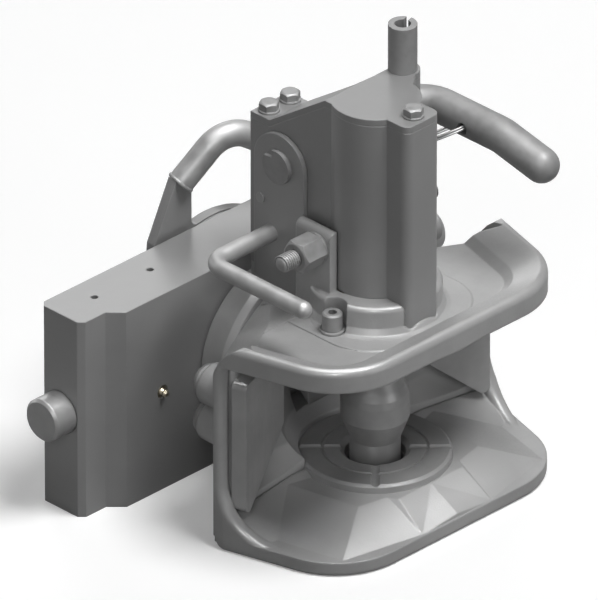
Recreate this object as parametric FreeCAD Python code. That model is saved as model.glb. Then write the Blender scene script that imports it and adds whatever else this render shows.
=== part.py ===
import FreeCAD, Part
import math
import os
from FreeCAD import Vector, Placement, Rotation

# Clevis hitch: a towing jaw with a lifting coupling pin, on a carrier that slides in a hitch frame.
# X points right, Y to the rear, Z up. The jaw opens towards -Y. All sizes are in millimetres.
# The origin is where the axis of the locking pins meets the axis that the jaw swivels on.

# Fits and small gaps
running = 0.05          # radial play of a shaft in its bush
clear = 0.3             # gap between pieces that move past each other

# Carrier
carrier_width = 270.0
carrier_height = 122.0
tongue_depth = 32.0     # thickness of the guide tongues that slide in the rails
tongue_length = 18.4
tongue_chamfer = 3.3
body_step = 8.0         # the middle of the carrier stands this far ahead of the tongues
grease_hole_r = 2.0
nipple_hole_r = 4.0
nipple_x = 81.0

# Swivel
shank_r = 30.0
shank_thread_r = 26.0
bush_wall = 4.0
bush_length = 18.0
nut_pocket_r = 44.0
nut_r = 36.0
nut_height = 13.0
spring_washer_height = 4.0
flange_r = 53.0
flange_depth = 21.0
flange_edge_r = 6.0
neck_r = 50.0

# Rear cap and locking lever
cap_r = 60.0
cap_thick = 3.0
cap_boss_r = 40.0
cap_screw_circle_r = 51.0
lever_thick = 6.0
lever_disc_r = 60.5
lever_turn = 31.0       # degrees that the locking lever turns
retainer_thick = 3.0
retainer_r = 46.0
handle_r = 7.4
handle_bend_r = 18.6
handle_lead = 24.0
handle_grip = 36.0

# Locking pins
lock_pin_r = 12.5
lock_pin_reach = 15.0   # how far each pin stands out of the carrier
lock_pin_inner = 64.0   # distance from the middle to a pin's inner end
lock_groove_r = 11.3    # groove for a wiper ring, just inside the carrier's face
lock_groove_width = 4.0
lock_bore_inner = 48.0
lock_spring_seat = 78.0
lock_spring_pocket_r = 8.5
lock_spring_mean_r = 6.6
lock_wire_r = 1.0
lock_spring_turns = 5
drive_pin_r = 4.0
drive_pin_x = 84.0

# Jaw
pin_axis_y = -106.0     # the coupling pin's axis
jaw_bottom = -61.0
jaw_half_width = 105.0
jaw_front = -170.0
lip_front_inset = 55.0  # from the jaw's side to the straight part of the front edge
lip_corner_r = 44.5
lip_taper = 15.6        # degrees between a side of the lips and the Y axis
lower_rim = -52.3
lower_plateau = -39.0
upper_under = 46.0
upper_rim_under = 53.5
upper_floor = 56.0
upper_rim = 67.0
rim_round = 4.0
crest_inset = 4.3       # the upper lip is a dish: its crest, the step in its flank and its floor,
flank_inset = 19.0      # each measured in from the lip's edge
floor_inset = 24.0
flank_level = 60.3
pad_half = 48.0         # the slightly raised pad round the collar
pad_front = -150.0
pad_corner_r = 30.0
pad_rise = 0.5
plateau_rear_inset = 49.0    # the flat middle of the lower lip, in from the jaw's side
plateau_front_inset = 59.0
plateau_rear = -95.0
plateau_front = -139.0
facet_inset = 28.0      # the corner of the sloping facets on the lower lip
facet_y = -158.0
facet_front_inset = 79.0
facet_edge = 1.5        # rim left in front of the facets
slope_edge_inset = 11.6      # where the slope behind the facets leaves the rim
slope_edge = -115.2
slope_wall_inset = 18.0      # where it meets the wear plate
slope_wall = -95.5
slope_wall_drop = 4.0
ramp_half_width = 24.0
ramp_foot_wider = 2.5
ramp_back = -144.0
ramp_top = -36.0
ramp_flare = 5.0
ramp_drop = 6.0
frame_front = -91.2     # front edge of the side walls
frame_rear = -86.9      # where the funnel behind the mouth ends
frame_top = 57.0
frame_corner_r = 15.0
frame_low = -55.0       # the funnel's lower edge, over the round of the lower lip's rear edge
wall_thick = 9.0
wall_round = 3.6
wall_sweep_r = 34.0     # where a side wall sweeps forward into the lower lip
rear_round = 6.0
eye_room_r = 54.0       # round the coupling pin, so that an eye can turn
bowl_r = 33.0           # the round at the bottom of that room
side_bowl_r = 3.0       # the round along a wear plate's foot: at the side wall
middle_bowl_r = 74.0    # and at the middle of the jaw
collar_r = 36.5
collar_top = 73.0
collar_edge_r = 3.0
lower_bore_r = 16.5

# Wear parts
disc_r = 42.0
disc_top = -34.0
disc_thick = 8.0
groove_depth = 1.1
groove_r = 3.2
plate_length = 46.0
plate_thick = 9.0
plate_angle = 18.8
plate_inset = 33.0      # from the jaw's side to the middle of a wear plate
plate_forward = 2.4     # of its face, ahead of the side walls
plate_bottom = -40.0
plate_corner_r = 4.0
plate_cut_top = -6.0    # the lower inner corner is cut off from here
plate_cut_end = 5.0     # to here, short of the outer end
plate_top = 40.0
bolt_inset = 20.0
bolt_heights = (2.0, 24.5)
bolt_r = 6.0
bolt_head_r = 10.5
bolt_seat_y = -66.0

# Coupling pin
coupling_r = 19.0
coupling_waist_r = 13.5
coupling_end_r = 14.0
coupling_bottom = -56.0
cross_pin_height = 80.0
cross_pin_r = 5.0
coupling_top = 90.0
coupling_lift = 82.0
fork_depth = 17.5       # of the slot for the crank, under the cross pin
fork_rear_depth = 38.0  # the same behind the pin's axis, where the crank leaves it
pin_bush_wall = 4.0

# Mechanism housing
guide_r = 25.0
housing_top = 180.0
cover_thick = 4.0
block_left = -22.0
block_right = 7.5
block_rear = -32.4
block_bottom = 62.0
flange_front = -46.8    # where the level rear flange of the cover ends
flange_top = 151.0
slope_top = -89.0
housing_wall = 4.0
nose_half = 13.0        # front boss, which gives the crank room
nose_front = -142.5
nose_bottom = 57.5
nose_corner_r = 5.0
tube_x = 32.6
tube_y = -94.0
tube_r = 8.0
tube_bore_r = 4.5
tube_top = 212.0
lug_r = 9.6
cover_screw_places = ((0.0, -134.6, 184.0), (-14.4, -39.0, 155.0), (1.7, -39.0, 155.0))

# Hand lever
shaft_y = -57.3
shaft_z = 132.0
bar_r = 10.0
bar_left = -28.0
bar_right = 84.0
bar_bend_r = 18.0
bar_knee = -119.0
bar_end = -149.0
bar_droop = 6.5
hand_turn = 78.0
crank_thick = 7.0
crank_hub_r = 16.0
crank_rim = 3.6
crank_half = 8.5        # half the width of the crank's arm
ring_hole_y = -98.0
ring_hole_z = 131.3
ring_hole_r = 3.5
ring_r = 21.0
ring_wire_r = 1.8
ring_droop = 32.0       # degrees that the ring leans below the level when it lies back under the bar

# Release lever
plate_face = -25.3
plate_inner = -22.3
plate_half = 19.0
plate_reach = 76.5
release_turn = 12.0
rod_r = 5.0
rod_y = -51.4
rod_z = 88.3
rod_out = -72.4
rod_bend_r = 10.0
rod_end = -123.0
stop_pin_r = 3.0
stop_pin_y = -43.6
stop_pin_z = 107.0
pawl_left = -16.5
pawl_right = -13.0
pawl_hub_r = 14.5

# Ears and their fixings
ear_inner = -25.6
ear_outer = -31.0
ear_rear = -76.0
ear_front = -102.0
ear_top = 109.0
ear_round = 4.4
stud_y = -92.0
stud_z = 98.0
stud_r = 5.0
stud_end = -59.0
ear_nut_flats = 17.0
ear_nut_height = 15.0

# Trigger
trigger_left = -14.0
trigger_right = -4.0
finger_right = 2.0      # the finger in the mouth is wider than the horn above it
finger_tip = (-69.0, -17.0)
finger_heel = (-61.5, -10.0)
finger_top = 46.0
trigger_y = -53.0
trigger_z = 54.0
trigger_hub_r = 8.0
horn_top = 80.0
trigger_pin_r = 4.0

# Screw in the pocket beside the collar
lip_screw_out = 1.8     # how far its axis lies outside the collar
lip_screw_angle = 187.5
lip_screw_r = 3.5
lip_pocket_r = 8.0
lip_head_r = 5.55
lip_head_height = 10.0
lip_washer_r = 7.0
lip_washer_height = 1.5

# Values worked out from the sizes above
half_width = carrier_width / 2
half_height = carrier_height / 2
rear_face = tongue_depth / 2
front_face = -rear_face - body_step
flange_rear = front_face - clear
neck_y = front_face - flange_depth
lever_rear = rear_face + cap_thick + clear + lever_thick
lever_front = rear_face + cap_thick + clear
lip_front_half = jaw_half_width - lip_front_inset
plate_x = jaw_half_width - plate_inset
plate_y = frame_front - plate_forward
bolt_x = jaw_half_width - bolt_inset
lip_screw_x = (collar_r + lip_screw_out) * math.cos(math.radians(lip_screw_angle))
lip_screw_y = pin_axis_y + (collar_r + lip_screw_out) * math.sin(math.radians(lip_screw_angle))


def v(x, y, z):
    return Vector(x, y, z)


def box(x0, x1, y0, y1, z0, z1):
    corner = v(min(x0, x1), min(y0, y1), min(z0, z1))
    return Part.makeBox(abs(x1 - x0), abs(y1 - y0), abs(z1 - z0), corner)


def rod(radius, start, end):
    along = end - start
    return Part.makeCylinder(radius, along.Length, start, along)


def fuse(pieces):
    return pieces[0].multiFuse(pieces[1:]).removeSplitter()


def polygon(points):
    return Part.makePolygon(points + [points[0]])


def prism_z(points, z0, z1):
    wire = polygon([v(x, y, z0) for x, y in points])
    return Part.Face(wire).extrude(v(0, 0, z1 - z0))


def prism_x(points, x0, x1):
    wire = polygon([v(x0, y, z) for y, z in points])
    return Part.Face(wire).extrude(v(x1 - x0, 0, 0))


def prism_y(points, y0, y1):
    wire = polygon([v(x, y0, z) for x, z in points])
    return Part.Face(wire).extrude(v(0, y1 - y0, 0))


def turned_z(profile, x=0.0, y=0.0):
    # profile: (radius, height) points of half the section
    wire = polygon([v(x + r, y, z) for r, z in profile])
    return Part.Face(wire).revolve(v(x, y, 0), v(0, 0, 1), 360)


def turned_y(profile, x=0.0, z=0.0):
    wire = polygon([v(x + r, y, z) for r, y in profile])
    return Part.Face(wire).revolve(v(x, 0, z), v(0, 1, 0), 360)


def hexagon(flats, height, base, along):
    # a hexagonal prism with its corners chamfered at the far end, as on a bolt head
    corner_r = flats / math.sqrt(3)
    points = []
    for i in range(6):
        angle = math.radians(60 * i + 30)
        points.append(v(corner_r * math.cos(angle), corner_r * math.sin(angle), 0))
    prism = Part.Face(polygon(points)).extrude(v(0, 0, height))
    chamfer = (corner_r - flats / 2) * 0.9
    cap = turned_z([(0, -1), (corner_r + 1, -1), (corner_r + 1, height - chamfer - 1),
                    (corner_r - chamfer - 1, height + 0.01), (0, height + 0.01)])
    head = prism.common(cap)
    head.Placement = Placement(base, Rotation(v(0, 0, 1), along))
    return head


def bent_wire(corners, radii):
    # straight runs joined by tangent arcs, one radius for each inner corner
    edges = []
    start = corners[0]
    for i in range(1, len(corners) - 1):
        before = (corners[i - 1] - corners[i]).normalize()
        after = (corners[i + 1] - corners[i]).normalize()
        half = before.getAngle(after) / 2
        reach = radii[i - 1] / math.tan(half)
        arc_start = corners[i] + before * reach
        arc_end = corners[i] + after * reach
        centre = corners[i] + (before + after).normalize() * (radii[i - 1] / math.sin(half))
        middle = centre + (corners[i] - centre).normalize() * radii[i - 1]
        edges.append(Part.LineSegment(start, arc_start).toShape())
        edges.append(Part.Arc(arc_start, middle, arc_end).toShape())
        start = arc_end
    edges.append(Part.LineSegment(start, corners[-1]).toShape())
    return Part.Wire(edges)


def bent_rod(corners, radii, radius):
    path = bent_wire(corners, radii)
    circle = Part.Wire(Part.makeCircle(radius, corners[0], corners[1] - corners[0]))
    return path.makePipeShell([circle], True, False)


def coil(wire_r, mean_r, length, turns, base, along):
    # a helical spring between two planes, its wire kept inside them
    pitch = (length - 2 * wire_r) / turns
    helix = Part.makeHelix(pitch, pitch * turns, mean_r)
    section = Part.Wire(Part.makeCircle(wire_r, v(mean_r, 0, 0), v(0, 1, 0)))
    spring = Part.Wire(helix).makePipeShell([section], True, True)
    spring.translate(v(0, 0, wire_r))
    spring.Placement = Placement(base, Rotation(v(0, 0, 1), along)).multiply(spring.Placement)
    return spring


def above_plane(p, q, r, size=500):
    # a large block that lies on the plane through three points, on its upper side
    normal = (q - p).cross(r - p).normalize()
    if normal.z < 0:
        normal = normal * -1
    block = Part.makeBox(size, size, size, v(-size / 2, -size / 2, 0))
    block.Placement = Placement(p, Rotation(v(0, 0, 1), normal))
    return block


def mirrored_x(shape):
    return shape.mirror(v(0, 0, 0), v(1, 0, 0))


# Carrier

def carrier_plate():
    end = half_width
    cut = tongue_chamfer
    root = end - tongue_length
    plan = [(-end + cut, rear_face), (end - cut, rear_face), (end, rear_face - cut),
            (end, -rear_face + cut), (end - cut, -rear_face), (root, -rear_face),
            (root - body_step, front_face), (-root + body_step, front_face), (-root, -rear_face),
            (-end + cut, -rear_face), (-end, -rear_face + cut), (-end, rear_face - cut)]
    plate = prism_z(plan, -half_height, half_height)
    cuts = [rod(shank_r + bush_wall, v(0, front_face - 1, 0), v(0, rear_face, 0)),
            rod(nut_pocket_r, v(0, front_face + bush_length, 0), v(0, rear_face + 1, 0))]
    travel = lock_pin_reach
    slot_half = drive_pin_r + clear
    for side in (-1, 1):
        cuts.append(rod(lock_pin_r + running, v(side * lock_bore_inner, 0, 0), v(side * (end + 1), 0, 0)))
        cuts.append(box(side * (drive_pin_x - travel), side * drive_pin_x, 0, rear_face + 1, -slot_half,
                        slot_half))
        for x in (drive_pin_x - travel, drive_pin_x):
            cuts.append(rod(slot_half, v(side * x, 0, 0), v(side * x, rear_face + 1, 0)))
        cuts.append(rod(nipple_hole_r, v(side * nipple_x, front_face - 1, 0), v(side * nipple_x, 0, 0)))
        for x in (drive_pin_x - 17.3, end - 26.0):
            cuts.append(rod(grease_hole_r, v(side * x, 0, 0), v(side * x, 0, half_height + 1)))
    for angle in (45, 135, 225, 315):
        cuts.append(cap_screw(angle))
    return plate.cut(cuts).removeSplitter()


def around_y(radius, degrees, y):
    angle = math.radians(degrees)
    return v(radius * math.cos(angle), y, radius * math.sin(angle))


def cap_screw(angle):
    # a countersunk screw, its head flush with the cap
    at = around_y(cap_screw_circle_r, angle, 0)
    top = rear_face + cap_thick
    profile = [(0, top), (6, top), (3, top - 3), (3, top - 14), (0, top - 14)]
    screw = turned_y(profile)
    screw.translate(at)
    return screw


def cap_screws():
    socket = 2.0
    screws = []
    for angle in (45, 135, 225, 315):
        at = around_y(cap_screw_circle_r, angle, rear_face + cap_thick)
        hexagonal = hexagon(2 * socket, 2.5, at - v(0, 2.4, 0), v(0, 1, 0))
        screws.append(cap_screw(angle).cut(hexagonal))
    return Part.makeCompound(screws)


def swivel_bush():
    outer = rod(shank_r + bush_wall, v(0, front_face, 0), v(0, front_face + bush_length, 0))
    return outer.cut(rod(shank_r + running, v(0, front_face - 1, 0), v(0, rear_face, 0)))


def grease_nipples():
    nipples = []
    for side in (-1, 1):
        profile = [(0, front_face + 8), (nipple_hole_r, front_face + 8), (nipple_hole_r, front_face + 2),
                   (2.6, front_face + 1.2), (1.6, front_face - 1.2), (2.3, front_face - 2.4),
                   (1.2, front_face - 3.6), (0, front_face - 3.6)]
        nipples.append(turned_y(profile, side * nipple_x))
    return Part.makeCompound(nipples)


def rear_cap():
    base = rod(cap_r, v(0, rear_face, 0), v(0, rear_face + cap_thick, 0))
    boss = rod(cap_boss_r, v(0, rear_face, 0), v(0, lever_rear + clear, 0))
    cap = fuse([base, boss])
    cuts = [cap_screw(angle) for angle in (45, 135, 225, 315)]
    cuts += [retainer_screw(angle) for angle in (90, 210, 330)]
    return cap.cut(cuts).removeSplitter()


def retainer_screw(angle):
    at = around_y(cap_boss_r - 12, angle, 0)
    top = lever_rear + clear + retainer_thick
    profile = [(0, top + 4), (4.6, top + 4), (5, top + 3.2), (5, top), (2.5, top), (2.5, top - 9),
               (0, top - 9)]
    screw = turned_y(profile)
    screw.translate(at)
    return screw


def retainer_screws():
    screws = []
    for angle in (90, 210, 330):
        top = lever_rear + clear + retainer_thick + 4
        socket = hexagon(4, 2.6, around_y(cap_boss_r - 12, angle, top - 2.5), v(0, 1, 0))
        screws.append(retainer_screw(angle).cut(socket))
    return Part.makeCompound(screws)


def lever_retainer():
    start = lever_rear + clear
    ring = rod(retainer_r, v(0, start, 0), v(0, start + retainer_thick, 0))
    ring = ring.cut(rod(cap_boss_r - 24, v(0, start - 1, 0), v(0, start + retainer_thick + 1, 0)))
    return ring.cut([retainer_screw(angle) for angle in (90, 210, 330)])


# Locking lever

def spiral_point(side, share, offset=0.0):
    # where a drive pin stands in the lever's slots, from locked (0) to drawn in (1), or a point beside it
    radius = drive_pin_x - lock_pin_reach * share
    slope = math.atan(lock_pin_reach / (math.radians(lever_turn) * radius))
    angle = math.radians(-lever_turn * share + (0 if side > 0 else 180))
    outward = angle - slope
    return v(radius * math.cos(angle) + offset * math.cos(outward), 0,
             radius * math.sin(angle) + offset * math.sin(outward))


def spiral_band(side, half, y0, y1):
    # a band of even width along the spiral, round at both ends
    steps = 8
    lead = [spiral_point(side, i / steps, half) for i in range(steps + 1)]
    back = [spiral_point(side, i / steps, -half) for i in range(steps, -1, -1)]
    outer = Part.BSplineCurve()
    outer.interpolate(lead)
    inner = Part.BSplineCurve()
    inner.interpolate(back)
    edges = [outer.toShape(), Part.makeLine(lead[-1], back[0]), inner.toShape(),
             Part.makeLine(back[-1], lead[0])]
    band = Part.Face(Part.Wire(edges)).extrude(v(0, y1 - y0, 0))
    band.translate(v(0, y0, 0))
    ends = []
    for share in (0, 1):
        centre = spiral_point(side, share)
        ends.append(rod(half, v(centre.x, y0, centre.z), v(centre.x, y1, centre.z)))
    return band.multiFuse(ends)


def locking_lever():
    y0 = lever_front
    y1 = lever_rear
    pieces = [rod(lever_disc_r, v(0, y0, 0), v(0, y1, 0))]
    for side in (-1, 1):
        pieces.append(spiral_band(side, drive_pin_r + 7.0, y0, y1))
    arm = [(-46.0, 36.0), (-44.1, 58.7), (-27.3, 92.9), (-15.8, 82.4), (-15.8, 30.0)]
    pieces.append(prism_y(arm, y0, y1))
    lever = fuse(pieces)
    foot = v(-15.8, 0, math.sqrt(lever_disc_r ** 2 - 15.8 ** 2))
    # the round in the corner between the arm and the disc
    r = 4.0
    dist = lever_disc_r + r
    cx = foot.x + r
    cz = math.sqrt(dist ** 2 - cx ** 2)
    web = prism_y([(foot.x - 1, foot.z - 3), (foot.x - 1, cz), (cx, cz), (cx * lever_disc_r / dist,
                  cz * lever_disc_r / dist - 1)], y0, y1)
    lever = lever.fuse(web.cut(rod(r, v(cx, y0 - 1, cz), v(cx, y1 + 1, cz))))
    cuts = [rod(cap_boss_r + running, v(0, y0 - 1, 0), v(0, y1 + 1, 0))]
    for side in (-1, 1):
        cuts.append(spiral_band(side, drive_pin_r + clear, y0 - 1, y1 + 1))
    return lever.cut(cuts).removeSplitter()


def locking_handle():
    # a bent bar on the arm's slanting end, which reaches over behind the housing
    lean = v(0.656, -0.229, 0.719).normalize()
    flat = v(lean.x, lean.y, 0).normalize()
    drop = math.radians(32)
    down = flat * math.cos(drop) - v(0, 0, math.sin(drop))
    start = v(-21.5, (lever_front + lever_rear) / 2 - 0.6, 88.4)
    turn = lean.getAngle(down)
    corner = start + lean * (handle_lead + handle_bend_r * math.tan(turn / 2))
    end = corner + down * (handle_bend_r * math.tan(turn / 2) + handle_grip)
    bar = bent_rod([start, corner, end], [handle_bend_r], handle_r)
    tip = Part.makeSphere(handle_r, end)
    bar = bar.fuse(tip)
    return bar.cut(locking_lever()).removeSplitter()


def locking_pin(side):
    inner = lock_pin_inner
    outer = half_width + lock_pin_reach
    chamfer = 1.5
    profile = [(0, inner), (lock_pin_r - 1, inner), (lock_pin_r, inner + 1), (lock_pin_r, outer - chamfer),
               (lock_pin_r - chamfer, outer), (0, outer)]
    wire = polygon([v(x, r, 0) for r, x in profile])
    pin = Part.Face(wire).revolve(v(0, 0, 0), v(1, 0, 0), 360)
    groove_end = half_width + clear
    groove_start = groove_end - lock_groove_width
    groove = rod(lock_pin_r + 1, v(groove_start, 0, 0), v(groove_end, 0, 0))
    groove = groove.cut(rod(lock_groove_r, v(groove_start - 1, 0, 0), v(groove_end + 1, 0, 0)))
    cuts = [rod(lock_spring_pocket_r, v(inner - 1, 0, 0), v(lock_spring_seat, 0, 0)), groove,
            rod(drive_pin_r, v(drive_pin_x, -20, 0), v(drive_pin_x, 20, 0))]
    pin = pin.cut(cuts)
    return pin if side > 0 else mirrored_x(pin)


def drive_pin(side):
    x = side * drive_pin_x
    return rod(drive_pin_r, v(x, -lock_pin_r + 3, 0), v(x, lever_rear + clear, 0))


def locking_spring(side):
    length = lock_spring_seat - lock_bore_inner - 0.2
    base = v(side * (lock_bore_inner + 0.1), 0, 0)
    return coil(lock_wire_r, lock_spring_mean_r, length, lock_spring_turns, base, v(side, 0, 0))


# Swivel fastening, which turns with the jaw

def swivel_spring_washer():
    start = front_face + bush_length + 0.2
    end = start + spring_washer_height
    outer = nut_pocket_r - 2
    profile = [(shank_thread_r, end - 2.6), (outer, start), (outer, start + 2.6), (shank_thread_r, end)]
    return turned_y(profile)


def swivel_nut():
    start = front_face + bush_length + 0.2 + spring_washer_height
    end = start + nut_height
    nut = rod(nut_r, v(0, start, 0), v(0, end, 0))
    cuts = [rod(shank_thread_r, v(0, start - 1, 0), v(0, end + 1, 0))]
    for i in range(6):
        groove = box(nut_r - 5, nut_r + 1, end - 6, end + 1, -4, 4)
        groove.rotate(v(0, 0, 0), v(0, 1, 0), 60 * i)
        cuts.append(groove)
    cuts.append(nut_lock_pin())
    return nut.cut(cuts)


def nut_lock_pin():
    y = front_face + bush_length + spring_washer_height + nut_height - 2.8
    return rod(2.5, v(0, y, -nut_r + 1), v(0, y, nut_r - 1))


# Jaw casting

def lip_face(inset, z):
    # the plan of both lips, as a face, drawn in from the edge by inset
    taper = math.radians(lip_taper)
    r = lip_corner_r - inset
    cx = lip_front_half
    cy = jaw_front + lip_corner_r
    tangent = v(cx + r * math.cos(taper), cy - r * math.sin(taper), z)
    bend = (math.pi / 2 + taper) / 2
    middle = v(cx + r * math.cos(bend), cy - r * math.sin(bend), z)
    side = jaw_half_width - inset
    meet = tangent.y + (side - tangent.x) / math.tan(taper)
    front = v(cx, jaw_front + inset, z)

    def flip(p):
        return v(-p.x, p.y, p.z)

    rear = v(side, frame_rear, z)
    edge = v(side, meet, z)
    edges = [Part.makeLine(flip(front), front), Part.Arc(front, middle, tangent).toShape(),
             Part.makeLine(tangent, edge), Part.makeLine(edge, rear), Part.makeLine(rear, flip(rear)),
             Part.makeLine(flip(rear), flip(edge)), Part.makeLine(flip(edge), flip(tangent)),
             Part.Arc(flip(tangent), flip(middle), flip(front)).toShape()]
    return Part.Face(Part.Wire(edges))


def lip_block(inset, z0, z1):
    return lip_face(inset, z0).extrude(v(0, 0, z1 - z0))


def facet_planes(level, edge_level):
    # the sloping faces between a lip's flat middle and its rim, for the right side
    back = v(jaw_half_width - plateau_rear_inset, plateau_rear, level)
    corner = v(jaw_half_width - plateau_front_inset, plateau_front, level)
    side_edge = v(jaw_half_width - facet_inset, facet_y, edge_level)
    front_edge = v(jaw_half_width - facet_front_inset, jaw_front + facet_edge, edge_level)
    return [(back, corner, side_edge), (corner, side_edge, front_edge)]


def both_sides(planes):
    # the blocks above these planes and above their mirror images
    blocks = []
    for p, q, r in planes:
        for sign in (-1, 1):
            blocks.append(above_plane(v(sign * p.x, p.y, p.z), v(sign * q.x, q.y, q.z),
                                      v(sign * r.x, r.y, r.z)))
    return blocks


def rear_slope():
    # the lower lip rises again towards the back of the mouth
    crease = v(jaw_half_width - plateau_rear_inset, plateau_rear, lower_plateau)
    edge = v(jaw_half_width - slope_edge_inset, slope_edge, lower_rim)
    wall = v(jaw_half_width - slope_wall_inset, slope_wall, lower_plateau - slope_wall_drop)
    wedge = lip_block(1.0, jaw_bottom + 3, lower_plateau + 2)
    return wedge.cut(both_sides([(crease, edge, wall)]))


def ramp():
    # the flat tongue that leads an eye up onto the wear disc
    top = ramp_half_width
    foot = top + ramp_foot_wider
    y_foot = jaw_front + facet_edge
    solid_floor = jaw_bottom + 4
    wide = top + 2 * ramp_flare
    shape = prism_x([(ramp_back + 30, solid_floor), (y_foot, solid_floor), (y_foot, lower_rim),
                     (ramp_back, ramp_top), (ramp_back + 30, ramp_top)], -wide, wide)
    a = v(top, ramp_back, ramp_top)
    b = v(foot, y_foot, lower_rim)
    c = v(top + ramp_flare, ramp_back - 2, ramp_top - ramp_drop)
    return shape.cut(both_sides([(a, b, c)]))


def lower_lip():
    rim = lip_block(0, jaw_bottom, lower_rim)
    low_edges = [e for e in rim.Edges if abs(e.BoundBox.ZMax - jaw_bottom) < 0.01]
    rear = [e for e in low_edges if e.BoundBox.YMin > frame_rear - 0.01]
    rim = rim.makeFillet(rear_round, rear)
    outer = [e for e in rim.Edges if abs(e.BoundBox.ZMax - jaw_bottom) < 0.01
             and e.BoundBox.YMin < frame_rear - rear_round - 1]
    rim = rim.makeFillet(2.5, outer)
    hump = lip_block(1.0, jaw_bottom + 3, lower_plateau).cut(both_sides(facet_planes(lower_plateau,
                                                                                     lower_rim)))
    behind = box(-jaw_half_width, jaw_half_width, frame_rear - 5, frame_rear + 20, lower_rim,
                 lower_plateau + 5)
    return fuse([rim, hump, rear_slope().cut(behind), ramp()])


def ruled(lower, upper):
    return Part.makeLoft([lower.OuterWire, upper.OuterWire], True, True)


def rim_end(side):
    # the dish ends at a slanting edge, behind which the corner falls away, and the rim bends down to the wall
    band = jaw_half_width - wall_thick
    near = v(jaw_half_width - 60, -75.0, upper_floor)
    far = v(band, -103.0, upper_floor)
    corner = v(jaw_half_width, -85.0, upper_floor - 13)
    falling = above_plane(near, far, corner)
    along = (far - near).normalize()
    start = near - along * 12
    behind = prism_z([(start.x, start.y), (band, far.y), (band, -50), (start.x, -50)], upper_floor - 30,
                     upper_rim + 20)
    forward = v(along.y, -along.x, 0) * 5
    rise = v(0, 0, upper_rim - upper_floor)
    edge_cut = above_plane(near + rise + forward, far + rise + forward, far + rise - v(0, 0, 5))
    edge_room = prism_z([(start.x, start.y - 12), (band, far.y - 12), (band, -50), (start.x, -50)],
                        upper_floor + 1, upper_rim + 20)
    bend = [(-107.0, upper_rim), (-101.0, upper_rim - 1.5), (-96.0, upper_rim - 5.5),
            (-91.0, upper_rim - 11.5),
            (-88.0, upper_rim - 17), (-86.0, upper_rim - 23), (-50, upper_rim - 23), (-50, upper_rim + 20),
            (-107.0, upper_rim + 20)]
    over = prism_x(bend, band - 1, jaw_half_width + 1)
    cut = fuse([falling.common(fuse([behind, over])), edge_cut.common(edge_room)])
    return cut if side > 0 else mirrored_x(cut)


def upper_lip():
    # a shallow dish: a floor, a flank in two slopes and a rounded rim, open to the rear
    block = lip_block(0, upper_under, upper_rim)
    rim_edges = [e for e in block.Edges if abs(e.BoundBox.ZMin - upper_rim) < 0.01
                 and e.BoundBox.YMin < frame_rear - 1]
    block = block.makeFillet(rim_round, rim_edges)
    dish = [ruled(lip_face(floor_inset, upper_floor), lip_face(flank_inset, flank_level)),
            ruled(lip_face(flank_inset, flank_level), lip_face(crest_inset, upper_rim)),
            lip_block(crest_inset, upper_rim, upper_rim + 5)]
    block = block.cut(dish)
    # the underside rises towards the rim, like the lower lip upside down
    blocks = both_sides(facet_planes(-upper_under, -upper_rim_under))
    hump = lip_block(0, -upper_rim_under, -upper_under)
    wedge = hump.common(blocks[0].multiFuse(blocks[1:]))
    block = block.cut(wedge.mirror(v(0, 0, 0), v(0, 0, 1)))
    pad = box(-pad_half, pad_half, pad_front, frame_rear, upper_floor - 2, upper_floor + pad_rise)
    corners = [e for e in pad.Edges if abs(e.BoundBox.ZLength - 2 - pad_rise) < 0.01
               and e.BoundBox.YMax < pad_front + 1]
    pad = pad.makeFillet(pad_corner_r, corners)
    return block.fuse(pad).removeSplitter()


def rounded_section(y):
    # the rounded rectangle that the funnel opens to, as eight edges
    r = frame_corner_r
    k = r * (1 - math.sqrt(0.5))
    left = -jaw_half_width
    right = jaw_half_width
    low = frame_low
    high = frame_top
    p = [v(left + r, y, low), v(right - r, y, low), v(right, y, low + r), v(right, y, high - r),
         v(right - r, y, high), v(left + r, y, high), v(left, y, high - r), v(left, y, low + r)]
    arcs = [v(right - k, y, low + k), v(right - k, y, high - k), v(left + k, y, high - k),
            v(left + k, y, low + k)]
    edges = [Part.makeLine(p[0], p[1]), Part.Arc(p[1], arcs[0], p[2]).toShape(), Part.makeLine(p[2], p[3]),
             Part.Arc(p[3], arcs[1], p[4]).toShape(), Part.makeLine(p[4], p[5]),
             Part.Arc(p[5], arcs[2], p[6]).toShape(), Part.makeLine(p[6], p[7]),
             Part.Arc(p[7], arcs[3], p[0]).toShape()]
    return Part.Wire(edges)


def round_section(y):
    # a circle in eight arcs, which match the edges of the rounded rectangle
    angles = [-115, -65, -25, 25, 65, 115, 155, 205, 245]
    edges = []
    for a, b in zip(angles[:-1], angles[1:]):
        points = [around_y(neck_r, angle, y) for angle in (a, (a + b) / 2, b)]
        edges.append(Part.Arc(*points).toShape())
    return Part.Wire(edges)


def funnel():
    cone = Part.makeLoft([round_section(neck_y), rounded_section(frame_rear)], True, True)
    edge = jaw_half_width - wall_thick
    middle = box(-edge, edge, frame_rear, frame_front, frame_low + 2, frame_top - 1)
    return fuse([cone, middle])


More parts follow.
